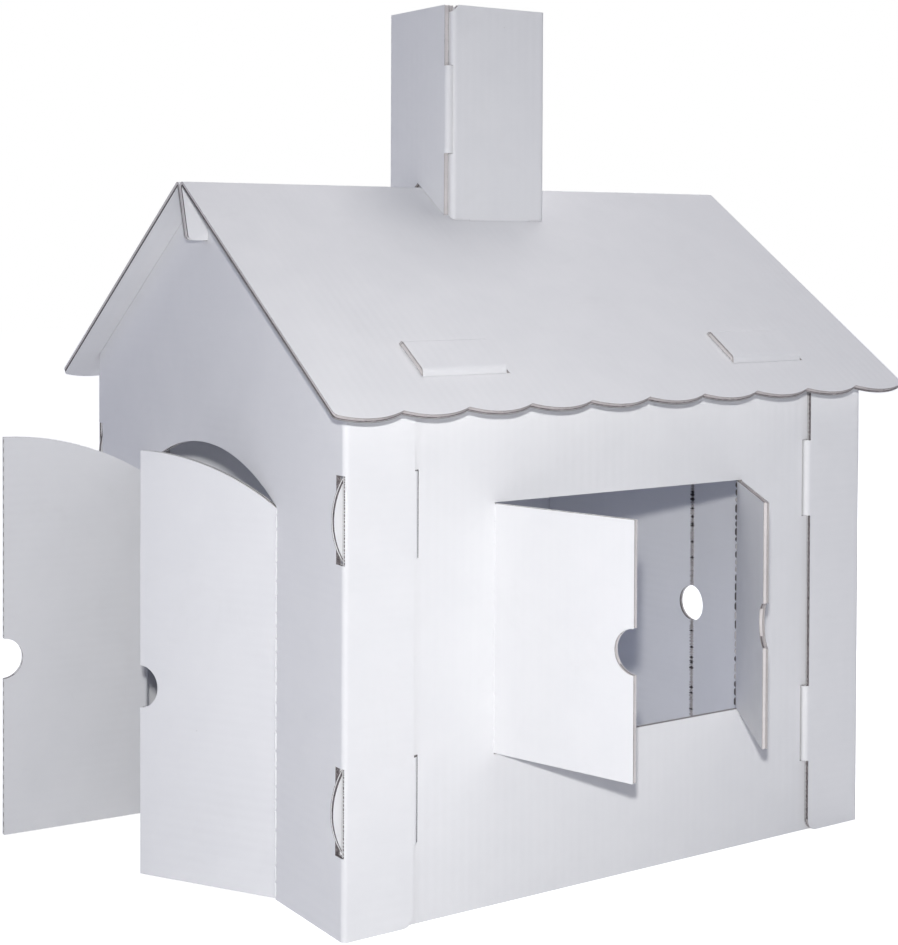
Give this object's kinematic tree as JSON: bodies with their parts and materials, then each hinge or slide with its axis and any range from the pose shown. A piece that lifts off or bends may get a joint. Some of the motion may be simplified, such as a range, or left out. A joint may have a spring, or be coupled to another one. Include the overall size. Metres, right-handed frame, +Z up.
{
  "type": "cardboard playhouse",
  "caption": "Small gabled playhouse of slotted corrugated board, with an arched double door, shuttered windows, scalloped roof and chimney.",
  "frame": {"origin": "centre of the bounding box at floor level", "axes": "+Z up; +Y from the front door to the rear door, along the ridge; +X to the right of someone facing the front door"},
  "size_m": [0.571, 0.6314, 0.6705],
  "materials": {
    "white_board": "matt white-lined corrugated board with grey-brown fluted cut edges"
  },
  "bodies": {
    "root": {"front_gable": "white_board", "rear_gable": "white_board", "right_side_wall": "white_board", "left_side_wall": "white_board", "right_roof": "white_board", "left_roof": "white_board", "chimney": "white_board"}
  },
  "joints": []
}
